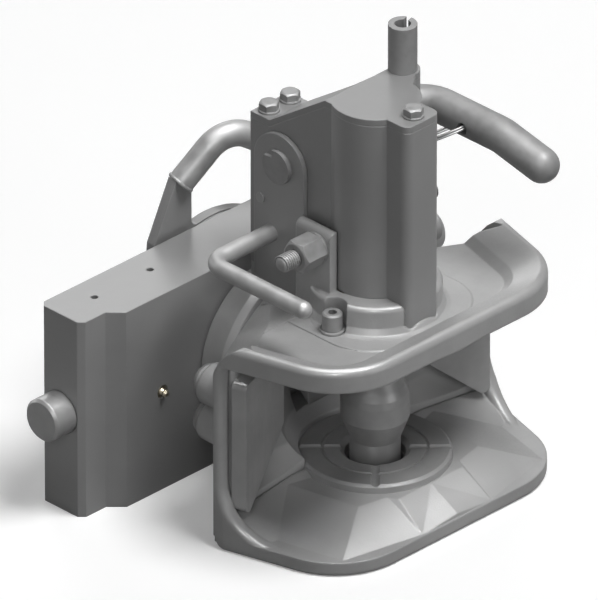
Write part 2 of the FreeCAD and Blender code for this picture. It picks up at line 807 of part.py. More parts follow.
def side_walls():
    # each wall's front edge sweeps forward at the bottom in a large arc, into the lower lip
    r = wall_sweep_r
    cy = frame_front - r
    cz = lower_rim + r
    k = r * math.sqrt(0.5)
    foot = frame_low + 1
    head = upper_rim_under
    profile = [Part.makeLine(v(0, frame_rear, foot), v(0, frame_rear, head)),
               Part.makeLine(v(0, frame_rear, head), v(0, frame_front, head)),
               Part.makeLine(v(0, frame_front, head), v(0, frame_front, cz)),
               Part.Arc(v(0, frame_front, cz), v(0, cy + k, cz - k), v(0, cy, lower_rim)).toShape(),
               Part.makeLine(v(0, cy, lower_rim), v(0, cy, foot)),
               Part.makeLine(v(0, cy, foot), v(0, frame_rear, foot))]
    slab = Part.Face(Part.Wire(profile)).extrude(v(jaw_half_width, 0, 0))
    ring = lip_block(0, jaw_bottom, upper_rim).cut(lip_block(wall_thick, jaw_bottom - 1, upper_rim + 1))
    wall = slab.common(ring)
    front = [e for e in wall.Edges if e.BoundBox.YMax < frame_front + 0.01
             and e.BoundBox.ZMin > lower_rim - 0.01
             and e.BoundBox.ZLength > 4]
    wall = wall.makeFillet(wall_round, front)
    return [wall, mirrored_x(wall)]


def plate_frame():
    # the directions along a wear plate, towards the middle, and through it to the rear
    angle = math.radians(plate_angle)
    return v(-math.cos(angle), math.sin(angle), 0), v(math.sin(angle), math.cos(angle), 0)


def wing():
    # one side of the mouth: its slanting rear wall, which a wear plate lies on, has a round at its foot
    along, back = plate_frame()
    seat = v(plate_x, plate_y, 0) + back * plate_thick
    edge = jaw_half_width - wall_thick
    outer = seat - along * ((edge - seat.x) / -along.x)
    inner = seat + along * (seat.x / -along.x)
    front = jaw_front - 5
    plan = [(0, front), (edge, front), (edge, outer.y), (0, inner.y)]
    room = prism_z(plan, lower_plateau, lower_plateau + 2 * middle_bowl_r)
    foot = [e for e in room.Edges if e.BoundBox.ZMax < lower_plateau + 0.01
            and e.BoundBox.YMin > outer.y - 0.01]
    room = room.makeFillet(side_bowl_r, middle_bowl_r, foot)
    return room.common(prism_z(plan, lower_plateau, upper_under))


def eye_room():
    # the round space for the drawbar eye, with a bowl at its foot
    start = eye_room_r - bowl_r
    centre = lower_plateau + bowl_r
    k = bowl_r * math.sqrt(0.5)
    edges = [Part.makeLine(v(0, 0, lower_plateau), v(start, 0, lower_plateau)),
             Part.Arc(v(start, 0, lower_plateau), v(start + k, 0, centre - k),
                      v(eye_room_r, 0, centre)).toShape(),
             Part.makeLine(v(eye_room_r, 0, centre), v(eye_room_r, 0, upper_under)),
             Part.makeLine(v(eye_room_r, 0, upper_under), v(0, 0, upper_under)),
             Part.makeLine(v(0, 0, upper_under), v(0, 0, lower_plateau))]
    room = Part.Face(Part.Wire(edges)).revolve(v(0, 0, 0), v(0, 0, 1), 360)
    room.translate(v(0, pin_axis_y, 0))
    return room


def mouth():
    right = wing()
    return [right, mirrored_x(right), eye_room()]


def bolt_bosses():
    bosses = []
    for side in (-1, 1):
        for z in bolt_heights:
            bosses.append(rod(bolt_head_r + 1.5, v(side * bolt_x, bolt_seat_y - 16, z),
                              v(side * bolt_x, bolt_seat_y, z)))
    return bosses


def ear(side):
    low = upper_floor - 8
    plate = box(ear_outer, ear_inner, ear_front, ear_rear, low, ear_top)
    outer = [e for e in plate.Edges if e.BoundBox.XMax < ear_outer + 0.01
             and e.BoundBox.ZMin > ear_top - 0.01]
    plate = plate.makeFillet(ear_round, outer)
    foot = prism_y([(ear_outer - 5, upper_floor - 2), (ear_outer, upper_floor + 5),
                    (ear_inner, upper_floor + 5),
                    (ear_inner, upper_floor - 2)], ear_front, ear_rear)
    shape = fuse([plate, foot])
    return shape if side < 0 else mirrored_x(shape)


def collar():
    profile = [(0, upper_floor - 6), (collar_r + 6, upper_floor - 6), (collar_r + 6, upper_floor),
               (collar_r + 2, upper_floor + 1.2), (collar_r, upper_floor + 5), (collar_r, collar_top),
               (0, collar_top)]
    ring = turned_z(profile, 0, pin_axis_y)
    top = [e for e in ring.Edges if e.BoundBox.ZMin > collar_top - 0.01]
    ring = ring.makeFillet(collar_edge_r, top)
    pocket = Part.makeCylinder(lip_pocket_r, 40, v(lip_screw_x, lip_screw_y, upper_floor + pad_rise))
    return ring.cut(pocket)


def jaw_casting():
    shank = turned_y([(0, flange_rear), (flange_r - 1, flange_rear), (flange_r, flange_rear - 1),
                      (flange_r, neck_y + flange_edge_r),
                      (flange_r - flange_edge_r * 0.3, neck_y + flange_edge_r * 0.3),
                      (flange_r - flange_edge_r, neck_y), (0, neck_y)])
    journal_end = front_face + bush_length
    spigot = turned_y([(0, flange_rear - 1), (shank_r, flange_rear - 1), (shank_r, journal_end),
                       (shank_thread_r, journal_end), (shank_thread_r, rear_face - 3.5),
                       (shank_thread_r - 1.5, rear_face - 2), (0, rear_face - 2)])
    seat = box(block_left + 0.5, block_right, block_rear, pin_axis_y + 20, frame_top - 12, block_bottom)
    solids = [funnel(), shank, spigot, lower_lip(), upper_lip(), collar(), seat, ear(-1), ear(1)]
    solids += side_walls()
    solids += bolt_bosses()
    body = solids[0].multiFuse(solids[1:])
    cuts = list(mouth())
    cuts.append(Part.makeCylinder(coupling_r + running + pin_bush_wall, 60,
                                  v(0, pin_axis_y, upper_under - 1)))
    cuts.append(Part.makeCylinder(lower_bore_r, 60, v(0, pin_axis_y, jaw_bottom - 10)))
    cuts.append(Part.makeCylinder(disc_r, 40, v(0, pin_axis_y, disc_top - disc_thick)))
    cuts.append(nose_block(0.0, nose_bottom, collar_top + 1))
    cuts.append(rod(plate_reach + 0.8, v(ear_inner, shaft_y, shaft_z), v(block_left, shaft_y, shaft_z)))
    gap = 2 * clear
    slot_front = trigger_y - trigger_hub_r - 3.5
    cuts.append(box(trigger_left - gap, finger_right + gap, neck_y + 1.0, slot_front, finger_tip[1] - 8,
                    block_bottom + 1))
    cuts.append(trigger_pin())
    cuts += [rim_end(-1), rim_end(1), wear_plate_blank(-1), wear_plate_blank(1)]
    cuts.append(lip_screw_body())
    cuts.append(nut_lock_pin())
    for side in (-1, 1):
        cuts.append(rod(stud_r, v(side * ear_inner, stud_y, stud_z),
                        v(side * (ear_outer - 6), stud_y, stud_z)))
    cuts.append(side_bolt())
    cuts += wear_bolt_list()
    return body.cut(cuts).removeSplitter()


# Wear parts

def wear_disc():
    r_in = lower_bore_r + 0.3
    bottom = disc_top - disc_thick
    disc = turned_z([(r_in, bottom), (disc_r, bottom), (disc_r, disc_top - 1.5), (disc_r - 1.5, disc_top),
                     (r_in + 2.7, disc_top), (r_in, disc_top - 2.7)], 0, pin_axis_y)
    groove = turned_z([(28.0, disc_top - 0.8), (29.6, disc_top - 0.8), (29.6, disc_top + 1),
                       (28.0, disc_top + 1)],
                      0, pin_axis_y)
    cuts = [groove]
    level = disc_top + groove_r - groove_depth
    for i in range(4):
        channel = rod(groove_r, v(r_in - 1, 0, level), v(disc_r + 1, 0, level))
        channel.rotate(v(0, 0, 0), v(0, 0, 1), 45 + 90 * i)
        channel.translate(v(0, pin_axis_y, 0))
        cuts.append(channel)
    return disc.cut(cuts)


def wear_plate_blank(side):
    plate = box(-plate_length / 2, plate_length / 2, 0, plate_thick, plate_bottom, plate_top)
    corners = [e for e in plate.Edges if abs(e.BoundBox.YLength - plate_thick) < 0.01]
    plate = plate.makeFillet(plate_corner_r, corners)
    end = plate_length / 2
    plate = plate.cut(prism_y([(-end - 1, plate_cut_top), (-end, plate_cut_top),
                               (end - plate_cut_end, plate_bottom),
                               (end - plate_cut_end, plate_bottom - 1), (-end - 1, plate_bottom - 1)],
                              -1, plate_thick + 1))
    plate.rotate(v(0, 0, 0), v(0, 0, 1), -plate_angle)
    plate.translate(v(plate_x, plate_y, 0))
    return plate if side > 0 else mirrored_x(plate)


def wear_plate(side):
    return wear_plate_blank(side).cut(wear_bolt_list())


def wear_bolt_list():
    bolts = []
    lean = math.tan(math.radians(plate_angle))
    plate_face_y = plate_y - (bolt_x - plate_x) * lean
    tip = plate_face_y + 2.0
    for side in (-1, 1):
        for z in bolt_heights:
            seat = bolt_seat_y
            profile = [(0, seat + 7.5), (bolt_head_r * 0.55, seat + 7.2), (bolt_head_r * 0.88, seat + 5.6),
                       (bolt_head_r, seat + 3), (bolt_head_r, seat), (bolt_r, seat), (bolt_r, tip), (0, tip)]
            bolts.append(turned_y(profile, side * bolt_x, z))
    return bolts


def wear_plate_bolts():
    return Part.makeCompound(wear_bolt_list())


def pin_bush():
    inner = coupling_r + running
    return turned_z([(inner + 1, upper_under), (inner + pin_bush_wall, upper_under),
                     (inner + pin_bush_wall, collar_top), (inner, collar_top), (inner, upper_under + 1)],
                    0, pin_axis_y)


# Mechanism housing and what is fixed to it

def nose_block(grow, z0, z1):
    half = nose_half + grow
    front = nose_front - grow
    back = pin_axis_y - 12
    nose = box(-half, half, front, back, z0, z1)
    corners = [e for e in nose.Edges if abs(e.BoundBox.ZLength - (z1 - z0)) < 0.01
               and e.BoundBox.YMax < front + 0.01]
    return nose.makeFillet(nose_corner_r, corners)


def housing_plan(z0, z1):
    # the outline seen from above, between two heights
    guide = Part.makeCylinder(guide_r, z1 - z0, v(0, pin_axis_y, z0))
    block = box(block_left, block_right, block_rear, pin_axis_y, z0, z1)
    nose = nose_block(0.0, z0, z1)
    return [guide, block, nose]


def tube_lug(z0, z1):
    lug = Part.makeCylinder(lug_r, z1 - z0, v(tube_x, tube_y, z0))
    web = prism_z([(10, tube_y + lug_r - 4.4), (tube_x, tube_y + lug_r), (tube_x, tube_y - lug_r),
                   (20, tube_y - 20)], z0, z1)
    return [lug, web]


def above_cover(offset):
    # everything over the cover's line, lowered or raised by offset
    far = block_rear + 40
    line = [(far, flange_top + offset), (flange_front, flange_top + offset),
            (slope_top, housing_top + offset),
            (nose_front - 20, housing_top + offset), (nose_front - 20, 260), (far, 260)]
    return prism_x(line, -80, 80)


def bearing_boss(x0, x1, radius):
    return rod(radius, v(x0, shaft_y, shaft_z), v(x1, shaft_y, shaft_z))


def stud_boss(side):
    return rod(6.4, v(side * (guide_r - 8), stud_y, stud_z), v(side * -ear_inner, stud_y, stud_z))


def stop_slot():
    # the arc that the release pin moves along in the housing's left wall
    pieces = []
    steps = 5
    for i in range(steps + 1):
        pin = rod(stop_pin_r + clear, v(block_left - 1, stop_pin_y, stop_pin_z),
                  v(block_left + housing_wall + 1, stop_pin_y, stop_pin_z))
        pin.rotate(v(0, shaft_y, shaft_z), v(-1, 0, 0), release_turn * i / steps)
        pieces.append(pin)
    return fuse(pieces)


def mechanism_housing():
    low = collar_top
    guide = Part.makeCylinder(guide_r, housing_top + 1 - low, v(0, pin_axis_y, low))
    block = box(block_left, block_right, block_rear, pin_axis_y + 10, block_bottom, housing_top + 1)
    block = block.cut(Part.makeCylinder(collar_r, low - block_bottom + 1, v(0, pin_axis_y, block_bottom - 1)))
    front_block = box(block_left, block_right, pin_axis_y + 12, pin_axis_y, low, housing_top + 1)
    nose = nose_block(0.0, nose_bottom, housing_top + 1)
    lug = tube_lug(housing_top - 32, housing_top + 1)
    boss = bearing_boss(block_right - 1, block_right + 10, 15.0)
    solids = [guide, block, front_block, nose, boss, stud_boss(-1), stud_boss(1)] + lug
    shell = solids[0].multiFuse(solids[1:])
    wall = housing_wall
    room = [Part.makeCylinder(coupling_r + running, housing_top - wall - low + 1, v(0, pin_axis_y, low - 1)),
            Part.makeCylinder(coupling_r + running + pin_bush_wall + 1, 20, v(0, pin_axis_y, low - 20)),
            box(block_left + wall, block_right - 3, block_rear - wall, pin_axis_y + 8, block_bottom - 1,
                housing_top - wall),
            box(-4.5, 4.5, pin_axis_y + 30, pin_axis_y, low - 1, housing_top - wall),
            box(-8, 8, nose_front + 3.3, pin_axis_y, collar_top + 11, housing_top - wall)]
    crank_way = box(-crank_thick / 2 - 1, crank_thick / 2 + 1, nose_front + 12, shaft_y - 25,
                    housing_top - wall - 5,
                    housing_top + 2)
    inside = room[0].multiFuse(room[1:]).cut(above_cover(-wall))
    screw_post = Part.makeCylinder(5.0, 12, v(cover_screw_places[0][0], cover_screw_places[0][1],
                                              housing_top - 12))
    cuts = [inside.cut(screw_post), above_cover(0), crank_way]
    cuts.append(bearing_boss(block_left - 1, block_left + wall + 1, bar_r + running + 2.0))
    cuts.append(bearing_boss(block_right - 4, block_right + 11, bar_r + running + 2.0))
    cuts.append(stop_slot())
    cuts.append(Part.makeCylinder(tube_r, 20, v(tube_x, tube_y, housing_top - 12)))
    cuts.append(Part.makeCylinder(tube_bore_r, 60, v(tube_x, tube_y, housing_top - 40)))
    cuts += cover_screw_list()
    for side in (-1, 1):
        cuts.append(rod(stud_r, v(side * (guide_r - 5), stud_y, stud_z), v(side * 40, stud_y, stud_z)))
    return shell.cut(cuts).removeSplitter()


def housing_cover():
    # a pressed plate that follows the top of the housing, level at the rear and stepped up in front
    z0 = flange_top - 5
    z1 = housing_top + cover_thick + 1
    plan = housing_plan(z0, z1) + tube_lug(z0, z1)
    plate = plan[0].multiFuse(plan[1:])
    plate = plate.common(above_cover(0)).cut(above_cover(cover_thick))
    cuts = [Part.makeCylinder(tube_r, 60, v(tube_x, tube_y, housing_top - 12))]
    cuts += cover_screw_list()
    return plate.cut(cuts).removeSplitter()


def cover_screw(x, y, top):
    shank = Part.makeCylinder(3, 12, v(x, y, top - 12))
    washer = Part.makeCylinder(6, 1.2, v(x, y, top))
    head = hexagon(10, 4.6, v(x, y, top + 1.2), v(0, 0, 1))
    return fuse([shank, washer, head])


def cover_screw_list():
    return [cover_screw(*place) for place in cover_screw_places]


def cover_screws():
    return Part.makeCompound(cover_screw_list())


def remote_tube():
    bottom = housing_top - 12
    tube = Part.makeCylinder(tube_r, tube_top - bottom, v(tube_x, tube_y, bottom))
    bore = Part.makeCylinder(tube_bore_r, tube_top - bottom + 2, v(tube_x, tube_y, bottom - 1))
    slot = box(tube_x, tube_x + tube_r + 1, tube_y - 1.3, tube_y + 1.3, tube_top - 8, tube_top + 1)
    slot.rotate(v(tube_x, tube_y, 0), v(0, 0, 1), 20)
    tube = tube.cut([bore, slot])
    return tube


def shaft_bush(x0, x1, flange_x):
    outer = bearing_boss(x0, x1, bar_r + running + 2.0)
    rim = bearing_boss(flange_x, flange_x + 1.2, bar_r + 4.5)
    bore = bearing_boss(min(x0, flange_x) - 1, max(x1, flange_x) + 3, bar_r + running)
    return outer.fuse(rim).cut(bore).removeSplitter()


def shaft_bush_left():
    return shaft_bush(block_left, block_left + housing_wall, block_left + housing_wall)


def shaft_bush_right():
    return shaft_bush(block_right - 3, block_right + 10, block_right + 10)


def return_spring():
    # a torsion spring round the shaft, with a straight leg at each end
    wire_r = 1.0
    mean_r = 12.6
    left = pawl_right + 0.6
    right = -crank_thick / 2 - 0.6
    body = coil(wire_r, mean_r, right - left, 2.5, v(left, shaft_y, shaft_z), v(1, 0, 0))
    legs = [rod(wire_r, v(left + wire_r, shaft_y, shaft_z - mean_r),
                v(left + wire_r, shaft_y - 14, shaft_z - mean_r)),
            rod(wire_r, v(right - wire_r, shaft_y, shaft_z + mean_r),
                v(right - wire_r, shaft_y - 11, shaft_z + mean_r))]
    return body.multiFuse(legs)


def ear_studs():
    studs = []
    for side in (-1, 1):
        inner = v(side * (guide_r - 5), stud_y, stud_z)
        studs.append(rod(stud_r, inner, v(-side * stud_end, stud_y, stud_z)))
    return Part.makeCompound(studs)


def ear_nuts():
    nuts = []
    for side in (-1, 1):
        start = v(-side * ear_outer, stud_y, stud_z)
        along = v(side, 0, 0)
        washer = Part.makeCylinder(9.0, 1.6, start, along)
        nut = hexagon(ear_nut_flats, ear_nut_height, start + along * 1.6, along)
        bore = Part.makeCylinder(stud_r, 40, start - along * 2, along)
        nuts.append(washer.fuse(nut).cut(bore))
    return Part.makeCompound(nuts)


def side_bolt():
    # the round-headed bolt that stands out at the right, on a spacer
    y = pin_axis_y + 12
    z = collar_top + 5
    start = v(-ear_inner, y, z)
    shank = rod(4.0, start, v(48, y, z))
    spacer = rod(6.5, v(-ear_outer, y, z), v(47.7, y, z))
    head = rod(9.0, v(47.7, y, z), v(54.7, y, z))
    dome = rod(8.0, v(54.6, y, z), v(55.7, y, z))
    return fuse([shank, spacer, head, dome])


def trigger_pin():
    return rod(trigger_pin_r, v(block_left + 1.2, trigger_y, trigger_z), v(block_right, trigger_y, trigger_z))


def lip_screw_body():
    top = upper_floor + pad_rise + lip_washer_height
    return Part.makeCylinder(lip_screw_r, 9.5, v(lip_screw_x, lip_screw_y, top - 9))


def lip_screw():
    x = lip_screw_x
    y = lip_screw_y
    low = upper_floor + pad_rise + lip_washer_height
    top = low + lip_head_height
    head = turned_z([(0, low), (lip_head_r, low), (lip_head_r, top - 0.8), (lip_head_r - 0.8, top),
                     (0, top)], x, y)
    socket = hexagon(5, 5, v(x, y, top - 4.5), v(0, 0, 1))
    return head.fuse(lip_screw_body()).cut(socket).removeSplitter()


def lip_washer():
    low = upper_floor + pad_rise
    washer = Part.makeCylinder(lip_washer_r, lip_washer_height, v(lip_screw_x, lip_screw_y, low))
    return washer.cut(Part.makeCylinder(lip_screw_r, 6, v(lip_screw_x, lip_screw_y, low - 2)))


# Coupling pin

def coupling_pin():
    waist = coupling_waist_r
    r = coupling_r
    profile = [(0, coupling_bottom), (coupling_end_r - 3, coupling_bottom),
               (coupling_end_r, coupling_bottom + 4),
               (coupling_end_r, -26.0), (r, -12.5), (r, -1.0), (r - 0.7, 3.0), (r - 2.4, 7.0),
               (coupling_end_r, 11.5), (waist, 15.0), (waist, 36.0), (r, upper_under), (r,
                                                                                        coupling_top - 1.5),
               (r - 1.5, coupling_top), (0, coupling_top)]
    pin = turned_z(profile, 0, pin_axis_y)
    half = crank_thick / 2 + 0.35
    fork = box(-half, half, pin_axis_y - 30, pin_axis_y + 30, cross_pin_height - fork_depth, coupling_top + 1)
    rear = box(-half, half, pin_axis_y, pin_axis_y + 30, cross_pin_height - fork_rear_depth, coupling_top + 1)
    return pin.cut([fork, rear, cross_pin()])


def cross_pin():
    return rod(cross_pin_r, v(-coupling_r + 2.5, pin_axis_y, cross_pin_height),
               v(coupling_r - 2.5, pin_axis_y, cross_pin_height))


# Hand lever

def bar_path():
    start = v(bar_left, shaft_y, shaft_z)
    corner = v(bar_right, shaft_y, shaft_z)
    knee = v(bar_right, bar_knee, shaft_z)
    end = v(bar_right, bar_end, shaft_z - bar_droop)
    return [start, corner, knee, end]


def hand_lever():
    path = bar_path()
    bar = bent_rod(path, [bar_bend_r, 30.0], bar_r)
    tip = Part.makeSphere(bar_r, path[-1])
    bar = bar.fuse(tip)
    notch = box(bar_left - 1, bar_left + 2.0, shaft_y + 3, shaft_y + 12, shaft_z + 5, shaft_z + 12)
    return bar.cut([ring_hole(), crank_key(), notch, shaft_ring()]).removeSplitter()


def ring_hole():
    # the wire curves inside the bar, so its hole is wider than the wire
    return rod(ring_hole_r, v(bar_right - bar_r - 2, ring_hole_y, ring_hole_z),
               v(bar_right + bar_r + 2, ring_hole_y, ring_hole_z))


def pull_ring():
    lean = math.radians(ring_droop)
    along = v(0, math.cos(lean), -math.sin(lean))
    sag = ring_r - math.sqrt(ring_r ** 2 - bar_r ** 2)
    centre = v(bar_right, ring_hole_y, ring_hole_z) + along * (ring_r - sag / 2)
    return Part.makeTorus(ring_r, ring_wire_r, centre, v(1, 0, 0).cross(along))


def shaft_ring():
    x = block_right + 11.4
    ring = bearing_boss(x, x + 1.5, bar_r + 3)
    return ring.cut([bearing_boss(x - 1, x + 3, bar_r - 1),
                     box(x - 1, x + 3, shaft_y - 4, shaft_y + 4, shaft_z - 20, shaft_z)])


def cross_pin_in_crank(share):
    # where the cross pin stands, seen from the crank, when the lever has gone this share of its turn
    y = pin_axis_y - shaft_y
    z = cross_pin_height + coupling_lift * share - shaft_z
    angle = math.radians(hand_turn * share)
    back = y * math.cos(angle) - z * math.sin(angle)
    up = y * math.sin(angle) + z * math.cos(angle)
    return v(0, shaft_y + back, shaft_z + up)


def crank_slot_outline(grow):
    steps = 8
    points = [cross_pin_in_crank(i / steps) for i in range(steps + 1)]
    loop = Part.makePolygon(points + [points[0]])
    outline = loop.makeOffset2D(grow)
    face = Part.Face(outline)
    face.translate(v(-crank_thick / 2, 0, 0))
    return face


def crank_arm():
    half = crank_thick / 2
    hub = rod(crank_hub_r, v(-half, shaft_y, shaft_z), v(half, shaft_y, shaft_z))
    slot_r = cross_pin_r + clear
    head = crank_slot_outline(slot_r + crank_rim).extrude(v(crank_thick, 0, 0))
    near = cross_pin_in_crank(0.6)
    along = (near - v(0, shaft_y, shaft_z)).normalize()
    across = v(0, -along.z, along.y) * crank_half
    root = v(0, shaft_y, shaft_z)
    web_points = [root + across, near + across, near - across, root - across]
    web = prism_x([(p.y, p.z) for p in web_points], -half, half)
    arm = hub.multiFuse([head, web])
    slot = crank_slot_outline(slot_r).extrude(v(crank_thick + 2, 0, 0))
    slot.translate(v(-1, 0, 0))
    cuts = [rod(bar_r, v(-half - 1, shaft_y, shaft_z), v(half + 1, shaft_y, shaft_z)), slot, crank_key()]
    return arm.cut(cuts).removeSplitter()


def crank_key():
    half = crank_thick / 2
    return box(-half, half, shaft_y - 2.5, shaft_y + 2.5, shaft_z + bar_r - 2.5, shaft_z + bar_r + 2)


# Release lever at the left

def release_plate():
    x0 = plate_face
    x1 = plate_inner
    top = rod(plate_half, v(x0, shaft_y, shaft_z), v(x1, shaft_y, shaft_z))
    leg = box(x0, x1, shaft_y - plate_half, shaft_y + plate_half, shaft_z - plate_reach, shaft_z)
    leg = leg.common(rod(plate_reach, v(x0, shaft_y, shaft_z), v(x1, shaft_y, shaft_z)))
    plate = fuse([top, leg])
    cuts = [rod(bar_r + running, v(x0 - 1, shaft_y, shaft_z), v(x1 + 1, shaft_y, shaft_z)),
            release_pin(), rod(rod_r, v(x0 - 1, rod_y, rod_z), v(x1 + 1, rod_y, rod_z))]
    return plate.cut(cuts)


def release_rod():
    start = v(plate_inner, rod_y, rod_z)
    corner = v(rod_out, rod_y, rod_z)
    end = v(rod_out, rod_end, rod_z)
    bar = bent_rod([start, corner, end], [rod_bend_r], rod_r)
    return bar.fuse(Part.makeSphere(rod_r, end)).removeSplitter()


def release_pin():
    return rod(stop_pin_r, v(plate_face - 0.8, stop_pin_y, stop_pin_z), v(pawl_right, stop_pin_y, stop_pin_z))


def pawl():
    # inside the housing, beside the crank: it holds the crank up until it is drawn forward
    x0 = pawl_left
    x1 = pawl_right
    hub = rod(pawl_hub_r, v(x0, shaft_y, shaft_z), v(x1, shaft_y, shaft_z))
    boss = rod(6.2, v(x0, stop_pin_y, stop_pin_z), v(x1, stop_pin_y, stop_pin_z))
    arm = prism_x([(shaft_y - 3, shaft_z - 12), (shaft_y + 14, shaft_z), (stop_pin_y + 5.6, stop_pin_z + 2.5),
                   (stop_pin_y - 5.6, stop_pin_z - 2.5)], x0, x1)
    nose = prism_x([(shaft_y - 5, shaft_z - 13), (shaft_y - 12, shaft_z - 23), (shaft_y - 18, shaft_z - 20),
                    (shaft_y - 13.5, shaft_z - 3)], x0, x1)
    body = fuse([hub, boss, arm, nose])
    return body.cut([rod(bar_r + running, v(x0 - 1, shaft_y, shaft_z), v(x1 + 1, shaft_y, shaft_z)),
                     release_pin()])


def trigger():
    # a horn above the pivot, and below it a broad finger that the eye pushes to the rear
    x0 = trigger_left
    x1 = trigger_right
    y = trigger_y
    z = trigger_z
    hub = rod(trigger_hub_r, v(x0, y, z), v(x1, y, z))
    neck = prism_x([(y + 6.4, z), (y - 7.9, z), (y - 9.4, finger_top - 8), (y + 4.5, finger_top - 8)], x0, x1)
    finger = prism_x([(y + 5.3, finger_top), (y - 8.7, finger_top), (finger_tip[0], finger_tip[1] + 3),
                      finger_tip,
                      finger_heel], x0, finger_right)
    horn = prism_x([(y + 4, z), (y - 4, z), (y - 3, horn_top), (y + 2, horn_top)], x0, x1)
    body = fuse([hub, neck, finger, horn])
    return body.cut(rod(trigger_pin_r + running, v(x0 - 1, y, z), v(x1 + 1, y, z)))


nodes = {
    "carrier_plate": carrier_plate,
    "swivel_bush": swivel_bush,
    "grease_nipples": grease_nipples,
    "rear_cap": rear_cap,
    "cap_screws": cap_screws,
    "lever_retainer": lever_retainer,
    "retainer_screws": retainer_screws,
    "locking_spring_left": lambda: locking_spring(-1),
    "locking_spring_right": lambda: locking_spring(1),
    "locking_lever": locking_lever,
    "locking_handle": locking_handle,
    "locking_pin_left": lambda: locking_pin(-1),
    "locking_pin_right": lambda: locking_pin(1),
    "drive_pin_left": lambda: drive_pin(-1),
    "drive_pin_right": lambda: drive_pin(1),
    "jaw_casting": jaw_casting,
    "swivel_spring_washer": swivel_spring_washer,
    "swivel_nut": swivel_nut,
    "nut_lock_pin": nut_lock_pin,
    "wear_disc": wear_disc,
    "wear_plate_left": lambda: wear_plate(-1),
    "wear_plate_right": lambda: wear_plate(1),
    "wear_plate_bolts": wear_plate_bolts,
    "pin_bush": pin_bush,
    "mechanism_housing": mechanism_housing,
    "housing_cover": housing_cover,
    "cover_screws": cover_screws,
    "ear_studs": ear_studs,
    "ear_nuts": ear_nuts,
    "side_bolt": side_bolt,
    "remote_tube": remote_tube,
    "shaft_bush_left": shaft_bush_left,
    "shaft_bush_right": shaft_bush_right,
    "return_spring": return_spring,
    "trigger_pin": trigger_pin,
    "lip_screw": lip_screw,
    "lip_washer": lip_washer,
    "coupling_pin": coupling_pin,
    "cross_pin": cross_pin,
    "hand_lever": hand_lever,
    "pull_ring": pull_ring,
    "crank_arm": crank_arm,
    "crank_key": crank_key,
    "shaft_ring": shaft_ring,
    "release_plate": release_plate,
    "release_rod": release_rod,
    "release_pin": release_pin,
    "pawl": pawl,
    "trigger": trigger,
}

os.makedirs("parts", exist_ok=True)
for name, make in nodes.items():
    shape = make()
    shape.exportStep("parts/" + name + ".step")
    print(name, len(shape.Solids), "solids", round(shape.Volume / 1000, 1), "cm3", shape.isValid())
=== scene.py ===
import math

import bmesh
import bpy
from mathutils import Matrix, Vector


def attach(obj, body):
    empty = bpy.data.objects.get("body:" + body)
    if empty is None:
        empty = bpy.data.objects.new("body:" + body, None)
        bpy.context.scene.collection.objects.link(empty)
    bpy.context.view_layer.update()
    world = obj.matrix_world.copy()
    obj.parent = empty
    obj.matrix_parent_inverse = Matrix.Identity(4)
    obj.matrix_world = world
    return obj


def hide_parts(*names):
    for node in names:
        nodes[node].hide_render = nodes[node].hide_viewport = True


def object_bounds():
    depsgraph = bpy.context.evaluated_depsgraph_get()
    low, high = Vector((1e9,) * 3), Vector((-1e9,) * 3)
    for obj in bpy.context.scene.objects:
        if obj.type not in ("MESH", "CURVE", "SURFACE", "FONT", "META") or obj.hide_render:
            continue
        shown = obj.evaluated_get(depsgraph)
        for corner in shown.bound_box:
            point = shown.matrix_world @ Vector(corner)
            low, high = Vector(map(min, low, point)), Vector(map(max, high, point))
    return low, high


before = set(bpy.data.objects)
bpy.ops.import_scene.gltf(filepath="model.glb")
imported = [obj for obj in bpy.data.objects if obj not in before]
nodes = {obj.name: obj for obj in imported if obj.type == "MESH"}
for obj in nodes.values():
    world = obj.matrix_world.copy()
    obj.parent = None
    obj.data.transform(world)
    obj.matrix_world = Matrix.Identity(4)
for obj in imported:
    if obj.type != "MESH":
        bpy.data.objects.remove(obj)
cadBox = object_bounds()
scene = bpy.context.scene

# Clevis hitch, dressed over the fixed frame. Lengths are in metres, colours are linear.


# Shader maths: a wrapped socket takes part in plain expressions

class Wire:
    def __init__(self, shading, socket):
        self.shading = shading
        self.socket = socket

    def combine(self, operation, other, swapped=False):
        pair = [other, self] if swapped else [self, other]
        return self.shading.add("ShaderNodeMath", {"operation": operation}, {0: pair[0], 1: pair[1]})

    def __add__(self, other):
        return self.combine("ADD", other)

    def __radd__(self, other):
        return self.combine("ADD", other, True)

    def __sub__(self, other):
        return self.combine("SUBTRACT", other)

    def __rsub__(self, other):
        return self.combine("SUBTRACT", other, True)

    def __mul__(self, other):
        return self.combine("MULTIPLY", other)

    def __rmul__(self, other):
        return self.combine("MULTIPLY", other, True)


